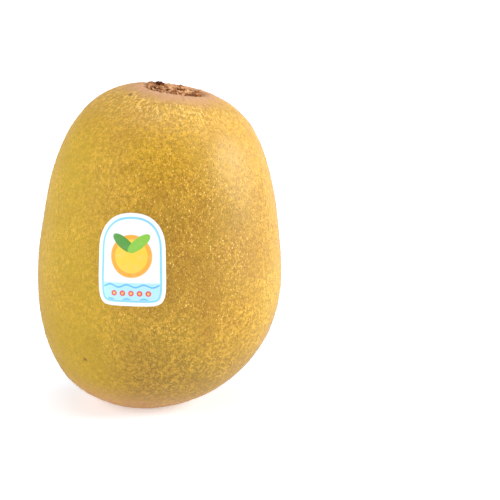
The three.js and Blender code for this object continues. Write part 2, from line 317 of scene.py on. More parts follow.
class Heap:
    """The points, faces and shades of one piece, added a shape at a time."""

    def __init__(self):
        self.points, self.faces, self.shades, self.count = [], [], [], 0

    def add(self, points, faces, shades):
        self.points.append(points)
        self.faces += [tuple(corner + self.count for corner in face) for face in faces]
        self.shades.append(np.broadcast_to(shades, len(points)))
        self.count += len(points)

    def piece(self, name, slot, *nodes):
        made = piece(name, np.concatenate(self.points), self.faces, slot, *nodes)
        give(made, "shade", np.concatenate(self.shades))
        return made


def give(target, name, values):
    attribute = target.data.attributes.new(name, "FLOAT", "POINT")
    attribute.data.foreach_set("value", np.ascontiguousarray(values, np.float32))


def add_object(name, data):
    made = bpy.data.objects.new(name, data)
    bpy.context.scene.collection.objects.link(made)
    return made


def add_mesh(name, points, faces):
    mesh = bpy.data.meshes.new(name)
    mesh.from_pydata(points, [], faces)
    return add_object(name, mesh)


def piece(name, points, faces, slot, *nodes):
    """A smooth mesh of points in the fruit's own frame, riding on the one body."""
    made = add_mesh(name, in_place(points).tolist(), faces)
    made.data.shade_smooth()
    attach(made, "root")
    if nodes:
        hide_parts(*nodes)
    return made


def sheet_grid(rings, sectors):
    """Shares, turns and sides of a closed sheet: the top from its middle, then the underside."""
    share, turn = ring_grid(2 * rings + 1, sectors)
    ring = np.rint(share * (2 * rings + 1))
    top = ring <= rings
    return np.where(top, ring, 2 * rings + 1 - ring) / rings, turn, top.astype(float)


def sheet_faces(rings, sectors):
    return ring_faces(2 * rings + 1, sectors)


def spikes(base, tip, width):
    """Thin three-sided cones from base points to tip points; the last of each one's points is its tip."""
    axis = tip - base
    axis = axis / np.linalg.norm(axis, axis=1, keepdims=True)
    helper = np.where(np.abs(axis[:, 2:]) < NEARLY_UPRIGHT, [[0.0, 0.0, 1.0]], [[1.0, 0.0, 0.0]])
    first = np.cross(axis, helper)
    first = first / np.linalg.norm(first, axis=1, keepdims=True)
    second = np.cross(axis, first)
    rows = []
    for corner in range(SPIKE_SIDES):
        angle = FULL_TURN * corner / SPIKE_SIDES
        rows.append(base + width * (math.cos(angle) * first + math.sin(angle) * second))
    rows.append(tip)
    points = np.stack(rows, 1).reshape(-1, 3)
    start = SPIKE_POINTS * np.arange(len(base))
    sides = [(corner, (corner + 1) % SPIKE_SIDES) for corner in range(SPIKE_SIDES)]
    faces = np.stack([np.stack([start + a, start + b, start + SPIKE_SIDES], 1) for a, b in sides], 1)
    return points, [tuple(face) for face in faces.reshape(-1, 3).tolist()]


# Skin

def marked_places():
    """Small dark marks on the skin, in the object's frame in millimetres."""
    along, turn = np.array(MARKS).T
    return [tuple(point) for point in in_place(skin_point(along, np.radians(turn))) / MM]


def fine_skin():
    rings, sectors = SKIN_GRID
    share, turn = ring_grid(rings, sectors)
    along = crowded(share)
    points = skin_point(along, turn)
    points = points + relief(along, turn)[:, None] * skin_normal(along, turn)
    skin = piece("kiwi_skin", kept_above_surface(points), ring_faces(rings, sectors), "kiwi_skin", "fruit")
    distance = np.hypot(points[:, 0], points[:, 1])
    give(skin, "from_stem", np.where(points[:, 2] > 0, distance, FAR_FROM_STEM))
    give(skin, "cosine", np.cos(turn))
    give(skin, "sine", np.sin(turn))
    give(skin, "along", along * OUTLINE_LENGTH)
    return skin


def hair_roots(index):
    """Shares of the outline and turns where hairs grow, as many on each square millimetre."""
    share = np.linspace(0, 1, AREA_STEPS + 1)
    out = np.interp(share * OUTLINE_LENGTH, OUTLINE_AT, OUTLINE_OUT)
    area = np.concatenate([[0], np.cumsum((out[1:] + out[:-1]) / 2)])
    along = np.interp(scatter(index, SEED["hair"]) * area[-1], area, share)
    return along, FULL_TURN * scatter(index, SEED["hair"] + 1)


def hairy(points):
    """Which points of the skin have hairs: none at the two ends, by the floor or at the label."""
    at_side = np.hypot(points[:, 0], points[:, 1]) > DISH["radius"]
    at_side |= np.abs(points[:, 2]) < HAIR["ends"]
    off_floor = points @ UP > HAIR["off_floor"] - REST_HEIGHT
    return at_side & off_floor & ~under_label(points)


def hairs(number):
    """Short hairs that lean towards the blossom end."""
    index = np.arange(HAIR["count"]) + number * HAIR["count"]
    along, turn = hair_roots(index)
    normal = skin_normal(along, turn)
    base = skin_point(along, turn) + relief(along, turn)[:, None] * normal
    down = skin_point(np.minimum(along + SHORT_STEP, 1), turn) - skin_point(along, turn)
    down = down / np.maximum(np.linalg.norm(down, axis=1, keepdims=True), TINY)
    across = np.cross(normal, down)
    sway = between((-1, 1), index, SEED["hair"] + 2)
    stand = between(HAIR["stand"], index, SEED["hair"] + 3)
    heading = down + sway[:, None] * across + stand[:, None] * normal
    heading = heading / np.linalg.norm(heading, axis=1, keepdims=True)
    length = between(HAIR["length"], index, SEED["hair"] + 4)
    root = base - HAIR["root"] * normal
    tip = base + heading * length[:, None]
    grows = hairy(base)
    return spikes(root[grows], tip[grows], HAIR["width"] / 2)


# Calyx

def stem_point(distance, turn, height):
    points = skin_point(np.maximum(0, distance) / OUTLINE_LENGTH, turn)
    points[..., 2] += height
    return points


def crust_height(distance, turn):
    x = distance * np.cos(turn) - SCAR["x"]
    y = distance * np.sin(turn) - SCAR["y"]
    from_scar = np.hypot(x, y) * (1 + SCAR_RAGGEDNESS * wobble(np.arctan2(y, x), SEED["scar"]))
    wall = SCAR["height"] * np.exp(-(((from_scar - SCAR["radius"]) / SCAR["wall"]) ** 2))
    pit = plateau(from_scar, SCAR["radius"] - SCAR["wall"] / 2, SCAR["wall"])
    rough = CALYX["roughness"] * cell_noise(distance, turn)
    return (CALYX["rim"] + wall + rough) * (1 - pit) + SCAR["floor"] * pit


def cell_noise(distance, turn):
    """The solid's random height of each cell, blended smoothly from cell to cell."""
    rings, sectors = CALYX_CELLS["rings"], CALYX_CELLS["sectors"]
    row = distance * rings / CALYX["radius"]
    column = np.mod(turn, FULL_TURN) / FULL_TURN * sectors
    low_row, low_column = np.floor(row), np.floor(column)
    total = 0
    for row_step in (0, 1):
        for column_step in (0, 1):
            cell = (low_row + row_step) * sectors + np.mod(low_column + column_step, sectors)
            weight = np.abs(1 - row_step - smoothstep(row - low_row, 0, 1))
            weight = weight * np.abs(1 - column_step - smoothstep(column - low_column, 0, 1))
            total = total + weight * scatter(cell, SEED["crust"])
    return total


def crust(heap):
    share, turn, side = sheet_grid(*CRUST_GRID)
    distance = share * CALYX["radius"] * (1 + CALYX["raggedness"] * wobble(turn, SEED["edge"]))
    height = crust_height(distance, turn)
    flat = stem_point(distance, turn, 0)
    coarse = ripples(flat, CRUST_GRAIN["wavelength"], SEED["grain"])
    fine = ripples(flat, CRUST_GRAIN["wavelength"] / CRUST_GRAIN["finer"], SEED["grain"] + 3)
    grain = CRUST_GRAIN["height"] * (coarse + fine)
    points = stem_point(distance, turn, CRUST_LIFT + side * (height + grain))
    # painted shade over the tissue's own tone: the shade is lower where the crust is lower and in its
    # grain's dips
    shade = CRUST_SHADE["least"] + CRUST_SHADE["height"] * height + CRUST_SHADE["grain"] * grain
    heap.add(points, sheet_faces(*CRUST_GRID), np.clip(shade, 0, 1))


def sepal_edge(angle, number):
    """The ragged edge's reach, as a share of a plain oval's."""
    edge = 1 + SEPAL_VARIETY["raggedness"] * wobble(angle, SEED["sepal_edge"] + number)
    for tooth in SEPAL_TEETH:
        edge = edge + tooth["height"] * np.sin(tooth["count"] * angle + tooth["shift"] * number)
    return edge


def sepal(heap, number):
    """One dried sepal: a ragged plate with raised veins, curled up at its free end."""
    heading = number + SEPAL_VARIETY["turn"] * scatter(number, SEED["sepal"])
    heading = FULL_TURN * heading / SEPAL["count"]
    lift = between(SEPAL_VARIETY["lift"], number, SEED["sepal"] + 1)
    size = between(SEPAL_VARIETY["size"], number, SEED["sepal"] + 2)
    share, angle, side = sheet_grid(*SEPAL_GRID)
    reach = share * size * sepal_edge(angle, number)
    outwards = reach * SEPAL["length"] * np.cos(angle)
    sideways = reach * SEPAL["width"] * np.sin(angle)
    distance = np.minimum(SEPAL["reach"] + outwards, CALYX["radius"] + SEPAL["overhang"])
    turn = heading + sideways / np.maximum(distance, SEPAL["width"])
    curl = SEPAL_CURL["along"] * np.maximum(0, outwards) ** 2 + SEPAL_CURL["across"] * sideways ** 2
    thickness = SEPAL["thickness"] * (SEPAL_TAPER["middle"] - SEPAL_TAPER["loss"] * share)
    vein = SEPAL_VEINS["height"] * np.sin(SEPAL_VEINS["closeness"] * sideways / SEPAL["width"])
    points = stem_point(distance, turn, lift + curl + side * (thickness + vein))
    grain = ripples(points, SEPAL_GRAIN["wavelength"], SEED["grain"] + 6)
    points[:, 2] += SEPAL_GRAIN["height"] * grain
    shade = SEPAL_SHADE["least"] + SEPAL_SHADE["variety"] * scatter(number, SEED["sepal"] + 3)
    shade = shade + SEPAL_SHADE["vein"] * vein + SEPAL_SHADE["grain"] * grain
    heap.add(points, sheet_faces(*SEPAL_GRID), np.clip(shade, 0, 1))


def ball(divisions):
    """Points and faces of a ball of radius 1."""
    made = bmesh.new()
    bmesh.ops.create_icosphere(made, subdivisions=divisions, radius=1)
    points = np.array([point.co for point in made.verts])
    faces = [tuple(corner.index for corner in face.verts) for face in made.faces]
    made.free()
    return points, faces


def lumpy(unit, number, lumps, seed):
    """A ball's points with lumps, which differ from number to number."""
    place = unit * lumps["span"] + number * lumps["apart"]
    swelling = lumps["height"] * ripples(place, lumps["wavelength"], seed)
    return unit * (1 + swelling)[:, None]


def crumb(heap, number, unit, faces):
    """One crumb of dry tissue that lies on the crust."""
    turn = FULL_TURN * scatter(number, SEED["crumb"])
    distance = CRUMB["reach"] * math.sqrt(scatter(number, SEED["crumb"] + 1))
    size = scatter(number, SEED["crumb"] + 2) ** 2
    radius = (1 - size) * CRUMB["radius"][0] + size * CRUMB["radius"][1]
    stretch = between(CRUMB["stretch"], number, SEED["crumb"] + 4)
    body = lumpy(unit, number, CRUMB_LUMPS, SEED["crumb"] + 5)
    body = body * radius * np.array([1, stretch, CRUMB["flatness"]])
    spin = FULL_TURN * scatter(number, SEED["crumb"] + 6)
    turned = np.stack([body[:, 0] * math.cos(spin) - body[:, 1] * math.sin(spin),
                       body[:, 0] * math.sin(spin) + body[:, 1] * math.cos(spin), body[:, 2]], -1)
    from_scar = math.hypot(distance * math.cos(turn) - SCAR["x"], distance * math.sin(turn) - SCAR["y"])
    rise = CRUMB["rise"] if from_scar > SCAR["radius"] else SCAR["floor"]
    rise += CRUMB["variety"] * scatter(number, SEED["crumb"] + 7)
    place = stem_point(np.array(distance), np.array(turn), rise)
    heap.add(turned + place, faces, scatter(number, SEED["crumb"] + 8))


def clump(heap, number, unit, faces):
    """One lump of the dark, broken edge that stands up at one side."""
    x = CLUMP["x"] + CLUMP["spread"] * (scatter(number, SEED["clump"]) - 0.5)
    y = CLUMP["y"] + CLUMP["spread"] * (scatter(number, SEED["clump"] + 1) - 0.5)
    place = stem_point(np.array(math.hypot(x, y)), np.array(math.atan2(y, x)), CLUMP["rise"])
    radius = between(CLUMP["radius"], number, SEED["clump"] + 3)
    body = lumpy(unit, number, CLUMP_LUMPS, SEED["clump"] + 2) * radius
    heap.add(body + place, faces, CLUMP["shade"])


def fibres(heap):
    """Dry fibres that stick out from the rim."""
    number = np.arange(FIBRE["count"])
    turn = FULL_TURN * scatter(number, SEED["fibre"])
    distance = between(FIBRE["distance"], number, SEED["fibre"] + 1)
    base = stem_point(distance, turn, FIBRE["rise"])
    length = between(FIBRE["length"], number, SEED["fibre"] + 2)
    heading = turn + FIBRE["sway"] * (scatter(number, SEED["fibre"] + 3) - 0.5)
    lift = between(FIBRE["lift"], number, SEED["fibre"] + 4)
    away = np.stack([np.cos(heading), np.sin(heading), lift], -1)
    points, faces = spikes(base, base + away * length[:, None], FIBRE["width"])
    heap.add(points, faces, np.repeat(scatter(number, SEED["fibre"] + 5), SPIKE_POINTS))


def fine_calyx():
    heap = Heap()
    crust(heap)
    for number in range(SEPAL["count"]):
        sepal(heap, number)
    unit, faces = ball(BALL_DIVISIONS)
    for number in range(CRUMB["count"]):
        crumb(heap, number, unit, faces)
    for number in range(CLUMP["count"]):
        clump(heap, number, unit, faces)
    fibres(heap)
    return heap.piece("kiwi_calyx", "dried_calyx", "calyx")


# Dried styles

def pad(heap, roof):
    """The ragged plate that the strands grow from, with its flat side at the height of the roof."""
    share, turn, side = sheet_grid(*PAD_GRID)
    distance = share * PAD["radius"] * (1 + PAD["raggedness"] * wobble(turn, SEED["pad"]))
    points = np.stack([distance * np.cos(turn), distance * np.sin(turn), np.zeros(len(share))], -1)
    grain = PAD_GRAIN["height"] * ripples(points, PAD_GRAIN["wavelength"], SEED["pad"] + 1)
    points[:, 2] = roof - (1 - side) * (PAD["thickness"] + grain)
    shade = PAD_SHADE["least"] + PAD_SHADE["grain"] * grain
    heap.add(points, sheet_faces(*PAD_GRID), np.clip(shade, 0, 1))


def strands(heap, roof):
    """Dry strands that splay out below the pad."""
    number = np.arange(STRAND["count"])
    turn = FULL_TURN * scatter(number, SEED["strand"])
    ring = STRAND["ring"] * np.sqrt(scatter(number, SEED["strand"] + 1))
    length = between(STRAND["length"], number, SEED["strand"] + 2)
    height = np.full(len(number), roof - PAD["thickness"] / 2)
    base = np.stack([ring * np.cos(turn), ring * np.sin(turn), height], -1)
    out = STRAND["splay"] * length * ring / STRAND["ring"]
    drop = PAD["thickness"] / 2 + length
    tip = base + np.stack([out * np.cos(turn), out * np.sin(turn), -drop], -1)
    points, faces = spikes(base, tip, STRAND["width"])
    heap.add(points, faces, np.repeat(scatter(number, SEED["strand"] + 3), SPIKE_POINTS))


def fine_styles():
    heap = Heap()
    roof = skin_point(np.array(1.0), np.array(0.0))[2] - PAD_GAP
    pad(heap, roof)
    strands(heap, roof)
    return heap.piece("kiwi_styles", "dried_styles", "dried_styles")


# Label

def label_edge(angle):
    top = np.sin(angle) > 0
    reach = np.where(top, LABEL["arch"], LABEL["drop"])
    power = np.where(top, ARCH_POWER, CORNER_POWER)
    across = np.abs(np.cos(angle)) / LABEL["halfWidth"]
    up = np.abs(np.sin(angle)) / reach
    return (across ** power + up ** power) ** (-1 / power)


def label_place(across, up):
    """Share of the outline and turn round the axis, for a place on the flat label."""
    level = LABEL_HEIGHT + up * math.cos(LEAN) + across * math.sin(LEAN)
    sideways = across * math.cos(LEAN) - up * math.sin(LEAN)
    along = np.interp(-level, -OUTLINE_HEIGHT, OUTLINE_AT) / OUTLINE_LENGTH
    return along, LABEL_TURN + sideways / HALF_WIDTH


def under_label(points):
    """Which points of the skin lie under the label or just beside its edge."""
    turn = np.arctan2(points[:, 1] / DEPTH_SHARE, points[:, 0])
    sideways = (turn - LABEL_TURN) * HALF_WIDTH
    level = points[:, 2] - LABEL_HEIGHT
    across = sideways * math.cos(LEAN) + level * math.sin(LEAN)
    up = level * math.cos(LEAN) - sideways * math.sin(LEAN)
    return np.hypot(across, up) < label_edge(np.arctan2(up, across)) + LABEL_MARGIN


def from_label_edge(across, up):
    """Distance from the label's edge for places on the flat label."""
    angle = np.linspace(0, FULL_TURN, EDGE_STEPS, endpoint=False)
    edge_across, edge_up = label_edge(angle) * np.cos(angle), label_edge(angle) * np.sin(angle)
    return np.array([np.min(np.hypot(edge_across - x, edge_up - y)) for x, y in zip(across, up)])


def fine_label():
    share, angle, side = sheet_grid(*LABEL_GRID)
    reach = share * label_edge(angle)
    across, up = reach * np.cos(angle), reach * np.sin(angle)
    along, turn = label_place(across, up)
    height = relief(along, turn) + LABEL["lift"] + side * LABEL["thickness"]
    points = skin_point(along, turn) + height[:, None] * skin_normal(along, turn)
    label = piece("kiwi_label", points, sheet_faces(*LABEL_GRID), "label_paper", "label")
    give(label, "inset", from_label_edge(across, up))
    give(label, "across", across)
    give(label, "up", up)
    give(label, "front", side)
    return label


# Materials

def colour(code):
    """A linear colour from the six-digit code of an sRGB one."""
    parts = [int(code[start:start + 2], 16) / 255 for start in (0, 2, 4)]
    linear = [part / 12.92 if part <= 0.04045 else ((part + 0.055) / 1.055) ** 2.4 for part in parts]
    return (*linear, 1)


class Paint:
    """The nodes of one material."""

    def __init__(self, name, **shader):
        self.material = bpy.data.materials.new(name)
        self.material.use_nodes = True
        self.tree = self.material.node_tree
        self.shader = self.tree.nodes["Principled BSDF"]
        for socket, value in shader.items():
            self.shader.inputs[socket.replace("_", " ")].default_value = value
        place = self.tree.nodes.new("ShaderNodeTexCoord")
        self.place = self.vector("MULTIPLY", place.outputs["Object"], (1 / MM,) * 3)

    def node(self, kind, sockets, **settings):
        made = self.tree.nodes.new(kind)
        for name, value in settings.items():
            setattr(made, name, value)
        for socket, value in sockets.items():
            target = made.inputs[socket]
            if isinstance(value, bpy.types.NodeSocket):
                self.tree.links.new(value, target)
            else:
                target.default_value = value
        return made

    def math(self, operation, first, second=0.0, third=0.0):
        return self.node("ShaderNodeMath", {0: first, 1: second, 2: third}, operation=operation).outputs[0]

    def product(self, first, *others):
        for other in others:
            first = self.math("MULTIPLY", first, other)
        return first

    def less(self, mask, loss):
        """1, less the loss where the mask is 1."""
        return self.math("MULTIPLY_ADD", mask, -loss, 1.0)

    def swing(self, noise, width):
        """Noise stretched to a width, half of it on each side of 0."""
        return self.math("MULTIPLY_ADD", noise, width, -width / 2)

    def vector(self, operation, first, second):
        return self.node("ShaderNodeVectorMath", {0: first, 1: second}, operation=operation).outputs[0]

    def attribute(self, name):
        return self.node("ShaderNodeAttribute", {}, attribute_name=name).outputs["Fac"]

    def step(self, value, low, high):
        """0 below low, 1 above high, and smooth between them; low may be the higher one."""
        made = self.node("ShaderNodeMapRange", {"Value": value, "From Min": low, "From Max": high},
                         interpolation_type="SMOOTHSTEP")
        return made.outputs["Result"]

    def noise(self, wavelength, detail=2.0, roughness=0.5, place=None, distortion=0.0):
        return self.node("ShaderNodeTexNoise",
                         {"Vector": place or self.place, "Scale": 1 / wavelength, "Detail": detail,
                          "Roughness": roughness, "Distortion": distortion}).outputs["Fac"]

    def warped(self, amount, wavelength):
        """The place, pushed about by noise."""
        noise = self.node("ShaderNodeTexNoise", {"Vector": self.place, "Scale": 1 / wavelength})
        push = self.vector("SUBTRACT", noise.outputs["Color"], (0.5,) * 3)
        return self.vector("ADD", self.place, self.vector("MULTIPLY", push, (2 * amount,) * 3))

    def distance(self, place, middle):
        made = self.node("ShaderNodeVectorMath", {0: place, 1: middle}, operation="DISTANCE")
        return made.outputs["Value"]

    def cells(self, width, place):
        """Distance to the nearest cell's middle, in cell widths, and the cell's own random number."""
        made = self.node("ShaderNodeTexVoronoi", {"Vector": place, "Scale": 1 / width})
        number = self.node("ShaderNodeSeparateColor", {0: made.outputs["Color"]}).outputs[0]
        return made.outputs["Distance"], number

    def mix(self, factor, first, second):
        made = self.node("ShaderNodeMix", {0: factor, 6: first, 7: second}, data_type="RGBA")
        return made.outputs[2]

    def bump(self, height, distance, strength, normal=None):
        sockets = {"Height": height, "Distance": distance * MM, "Strength": strength}
        if normal:
            sockets["Normal"] = normal
        return self.node("ShaderNodeBump", sockets).outputs["Normal"]

    def finish(self, **sockets):
        for socket, value in sockets.items():
            self.tree.links.new(value, self.shader.inputs[socket.replace("_", " ")])
        return self.material


# The skin's layers in the order that they are laid, with the strength of each. Wavelengths, cells and
# distances are millimetres, radii are shares of a cell, and the second edge is where a layer is complete.
# Noise is its wavelength, detail and roughness.
SKIN = {
    "ground": {"colour": "A4760C"},
    "olive": {"colour": "A88610", "strength": 1.0, "noise": (16.0, 3.0, 0.5), "edges": (0.35, 0.65)},
    "gold": {"colour": "B58C18", "strength": 0.9, "noise": (2.6, 4.0, 0.6), "edges": (0.3, 0.75)},
    "grain": {"colour": "744A04", "strength": 0.7, "noise": (0.55, 3.0, 0.6), "edges": (0.5, 0.8)},
    "smooth": {"colour": "A48E04", "strength": 0.5, "side": (0.0, -20.0), "front": (24.0, -4.0)},
    # painted shade: a darker brown low on the fruit, towards the blossom end
    "low": {"colour": "6A5000", "strength": 0.66, "edges": (60.0, 90.0)},
    # painted bounce light: a paler peach tone on the lowest skin, next to the floor
    "painted_bounce_light": {"colour": "C89468", "strength": 0.75, "edges": (90.0, 108.0)},
    "top": {"colour": "B48C4C", "strength": 0.5, "edges": (32.0, 16.0)},
    "cloud": {"colour": "DAAA30", "strength": 0.9, "noise": (0.9, 3.0, 0.65), "edges": (0.42, 0.62)},
    # painted shade: a darker patch at the front, right of the middle, between the two side lamps
    "painted_shade": {"colour": "7C5800", "strength": 0.46, "middle": (11.0, -26.0, 45.0), "edges": (30.0, 8.0)},
    # painted highlight: a paler patch on the upper right shoulder, where the right lamp's highlight lies
    "pale": {"colour": "C69C50", "strength": 0.34, "middle": (21.0, -14.0, 73.0), "edges": (22.0, 5.0)},
    "pit": {"colour": "744806", "strength": 0.75, "cell": 0.5, "radius": (0.14, 0.38)},
    "streak": {"colour": "F2C86E", "strength": 1.0, "edges": (0.5, 0.62), "from": (26.0, 13.0)},
    "speck": {"colour": "E8B048", "strength": 0.82, "cell": 0.42, "radius": (0.16, 0.44)},
    "spot": {"colour": "F2C668", "strength": 0.82, "cell": 0.74, "radius": (0.1, 0.3)},
    "halo": {"colour": "CE9E7C", "strength": 0.88, "noise": (2.4, 4.0, 0.6), "unevenness": 5.0,
             "edges": (17.4, 11.2)},
    "mark": {"colour": "5A3C14", "strength": 0.75, "warp": (0.5, 0.8), "edges": (0.75, 0.3)},
}
# Broad patches with fainter specks, and how strong the specks stay there
PATCHES = {"noise": (9.0, 2.0, 0.5), "edges": (0.35, 0.65), "fewest": 0.55}
# What the specks lose on the smooth side and low down, and what the low layer loses on the smooth side
SMOOTH_SIDE_LOSS = 0.5
# fewer pale specks low down add to the painted shade there
LOW_LOSS = 0.45
# the smooth side keeps less of the low layer's painted shade
SMOOTH_SIDE_PALENESS = 0.8
# How far specks are pushed out of round, in cell widths, how much they are drawn out upwards, and the
# share of their radius inside which they are at full strength
SPECK_FORM = {"push": 0.3, "push_wavelength": 0.6, "squeeze": 0.62, "core": 0.5}
# Sheen, fine bumps and roughness of the skin
SKIN_SHEEN = {"Sheen_Weight": 0.22, "Sheen_Roughness": 0.45, "Sheen_Tint": colour("E8C08A")}
SKIN_GRAIN = {"wavelength": 0.35, "height": 0.05, "strength": 0.5}
SPECK_BUMP = {"height": 0.06, "strength": 0.8, "small": 0.5}
SKIN_ROUGHNESS = {"least": 0.38, "variety": 0.2, "smooth_side": 0.18}


def specks(paint, name):
    """1 on small specks, one to a cell at most."""
    layer = SKIN[name]
    width = layer["cell"]
    place = paint.warped(SPECK_FORM["push"] * width, SPECK_FORM["push_wavelength"] * width)
    distance, number = paint.cells(width, paint.vector("MULTIPLY", place, (1, 1, SPECK_FORM["squeeze"])))
    smallest, largest = layer["radius"]
    size = paint.math("MULTIPLY_ADD", number, largest - smallest, smallest)
    return paint.step(distance, size, paint.product(size, SPECK_FORM["core"]))


def streaks(paint):
    """Noise drawn out along the fruit's length."""
    around = {"X": paint.product(paint.attribute("cosine"), STREAK["round"]),
              "Y": paint.product(paint.attribute("sine"), STREAK["round"]),
              "Z": paint.math("DIVIDE", paint.attribute("along"), STREAK["length"])}
    place = paint.node("ShaderNodeCombineXYZ", around).outputs[0]
    return paint.step(paint.noise(*STREAK["noise"], place, STREAK["distortion"]), *SKIN["streak"]["edges"])


def noise_layer(paint, name):
    layer = SKIN[name]
    return paint.step(paint.noise(*layer["noise"]), *layer["edges"])


def around_stem(paint):
    """1 on the bare skin round the calyx, with an uneven edge."""
    halo = SKIN["halo"]
    uneven = paint.noise(*halo["noise"])
    distance = paint.math("MULTIPLY_ADD", uneven, halo["unevenness"], paint.attribute("from_stem"))
    return paint.step(distance, *halo["edges"])


def smooth_area(paint):
    """1 on the smoother skin at the front's left."""
    place = paint.node("ShaderNodeSeparateXYZ", {0: paint.place}).outputs
    side = paint.step(place["X"], *SKIN["smooth"]["side"])
    return paint.product(side, paint.step(place["Y"], *SKIN["smooth"]["front"]))


def near(paint, name, middle, place=None):
    """1 near the middle of a layer and 0 far from it."""
    return paint.step(paint.distance(place or paint.place, middle), *SKIN[name]["edges"])


def cover(paint, base, name, mask):
    """The base with one layer of the skin over it where the mask is 1."""
    layer = SKIN[name]
    return paint.mix(paint.product(mask, layer["strength"]), base, colour(layer["colour"]))


def skin_masks(paint):
    """Where each layer of the skin lies, in the order that they are laid."""
    along = paint.attribute("along")
    smooth_side = smooth_area(paint)
    low = paint.step(along, *SKIN["low"]["edges"])
    halo = around_stem(paint)
    bare = paint.math("SUBTRACT", 1.0, halo)
    speckled = paint.less(smooth_side, SMOOTH_SIDE_LOSS)
    patches = paint.step(paint.noise(*PATCHES["noise"]), *PATCHES["edges"])
    patches = paint.math("MULTIPLY_ADD", patches, 1 - PATCHES["fewest"], PATCHES["fewest"])
    # specks are fewer low down, which adds to the painted shade there
    patchy = paint.product(bare, speckled, patches, paint.less(low, LOW_LOSS))
    return {
        "olive": noise_layer(paint, "olive"),
        "gold": noise_layer(paint, "gold"),
        "grain": noise_layer(paint, "grain"),
        "smooth": smooth_side,
        # painted shade low on the fruit, weaker on the smooth side
        "low": paint.product(low, paint.less(smooth_side, SMOOTH_SIDE_PALENESS)),
        # painted bounce light on the lowest skin, next to the floor
        "painted_bounce_light": paint.step(along, *SKIN["painted_bounce_light"]["edges"]),
        "top": paint.step(along, *SKIN["top"]["edges"]),
        "cloud": paint.product(noise_layer(paint, "cloud"), patchy),
        # painted shade: a darker patch at the front, right of the middle
        "painted_shade": near(paint, "painted_shade", SKIN["painted_shade"]["middle"]),
        # painted highlight: a paler patch on the upper right shoulder
        "pale": near(paint, "pale", SKIN["pale"]["middle"]),
        "pit": paint.product(specks(paint, "pit"), speckled),
        "streak": paint.product(streaks(paint), bare, paint.step(along, *SKIN["streak"]["from"])),
        "speck": paint.product(specks(paint, "speck"), patchy),
        "spot": paint.product(specks(paint, "spot"), patchy),
        "halo": halo,
    }


def marks_on(paint, base):
    warped = paint.warped(*SKIN["mark"]["warp"])
    for place in marked_places():
        base = cover(paint, base, "mark", near(paint, "mark", place, warped))
    return base


def skin_bumps(paint, masks):
    grain = paint.noise(SKIN_GRAIN["wavelength"])
    normal = paint.bump(grain, SKIN_GRAIN["height"], SKIN_GRAIN["strength"])
    small = paint.math("ADD", masks["speck"], masks["streak"])
    raised = paint.math("MULTIPLY_ADD", small, SPECK_BUMP["small"], masks["spot"])
    return paint.bump(raised, SPECK_BUMP["height"], SPECK_BUMP["strength"], normal)


def skin_paint():
    paint = Paint("kiwi_skin", Specular_IOR_Level=0.34, **SKIN_SHEEN)
    masks = skin_masks(paint)
    base = colour(SKIN["ground"]["colour"])
    for name, mask in masks.items():
        base = cover(paint, base, name, mask)
    rough = paint.math("MULTIPLY_ADD", paint.noise(*SKIN["gold"]["noise"]), SKIN_ROUGHNESS["variety"],
                       SKIN_ROUGHNESS["least"])
    rough = paint.math("MULTIPLY_ADD", masks["smooth"], SKIN_ROUGHNESS["smooth_side"], rough)
    return paint.finish(Base_Color=marks_on(paint, base), Normal=skin_bumps(paint, masks), Roughness=rough)


# Colours and roughness of the hairs, and the noise that parts the two browns
HAIR_PAINT = {"noise": (1.4, 3.0, 0.6), "edges": (0.35, 0.65), "dark": "A8762A", "light": "C08A38",
              "tip": "DEB068", "tip_strength": 0.5, "roughness": 0.45, "roughness_variety": 0.3}


def hair_paint():
    """Hairs paler at the tip, and of two browns by patches."""
    paint = Paint("kiwi_hair", Specular_IOR_Level=0.3)
    patch = paint.noise(*HAIR_PAINT["noise"])
    brown = paint.mix(paint.step(patch, *HAIR_PAINT["edges"]), colour(HAIR_PAINT["dark"]),
                      colour(HAIR_PAINT["light"]))
    tip = paint.product(paint.attribute("tip"), HAIR_PAINT["tip_strength"])
    rough = paint.math("MULTIPLY_ADD", patch, HAIR_PAINT["roughness_variety"], HAIR_PAINT["roughness"])
    return paint.finish(Base_Color=paint.mix(tip, brown, colour(HAIR_PAINT["tip"])), Roughness=rough)


# Dry tissue: the width of the noises in its shade, and the shades between which its colours change
DRY_PATCH = {"noise": (1.3, 4.0, 0.5), "width": 1.9}
DRY_GRAIN = {"noise": (0.3, 3.0, 0.6), "width": 1.2}
DRY_EDGES = {"middle": (0.05, 0.5), "pale": (0.4, 1.15)}
DRY_BUMP = {"noise": (0.22, 3.0, 0.65), "height": 0.12, "strength": 0.9}


def dry_paint(name, dark, middle, pale):
    """Dry plant tissue: dark in its hollows and pale on what stands up, partly its own tone and partly
    painted shade in the hollows and painted light on the rises.
    """
    paint = Paint(name, Roughness=0.9, Specular_IOR_Level=0.2)
    shade = paint.attribute("shade")
    for part in (DRY_PATCH, DRY_GRAIN):
        shade = paint.math("ADD", shade, paint.swing(paint.noise(*part["noise"]), part["width"]))
    base = paint.mix(paint.step(shade, *DRY_EDGES["middle"]), colour(dark), colour(middle))
    base = paint.mix(paint.step(shade, *DRY_EDGES["pale"]), base, colour(pale))
    normal = paint.bump(paint.noise(*DRY_BUMP["noise"]), DRY_BUMP["height"], DRY_BUMP["strength"])
    return paint.finish(Base_Color=base, Normal=normal)


# The label's artwork, in millimetres from the middle of its widest line
PAPER = "E6E8E2"
BORDER = {"colour": "7AC2E0", "inset": (0.9, 1.45)}
PANEL = {"colour": "A6D4E6", "top": -8.0, "inset": 1.5}
LINES = {"colour": "4FA8D6", "heights": (-9.0, -12.5), "width": 0.4, "swell": 0.32, "closeness": 1.5}
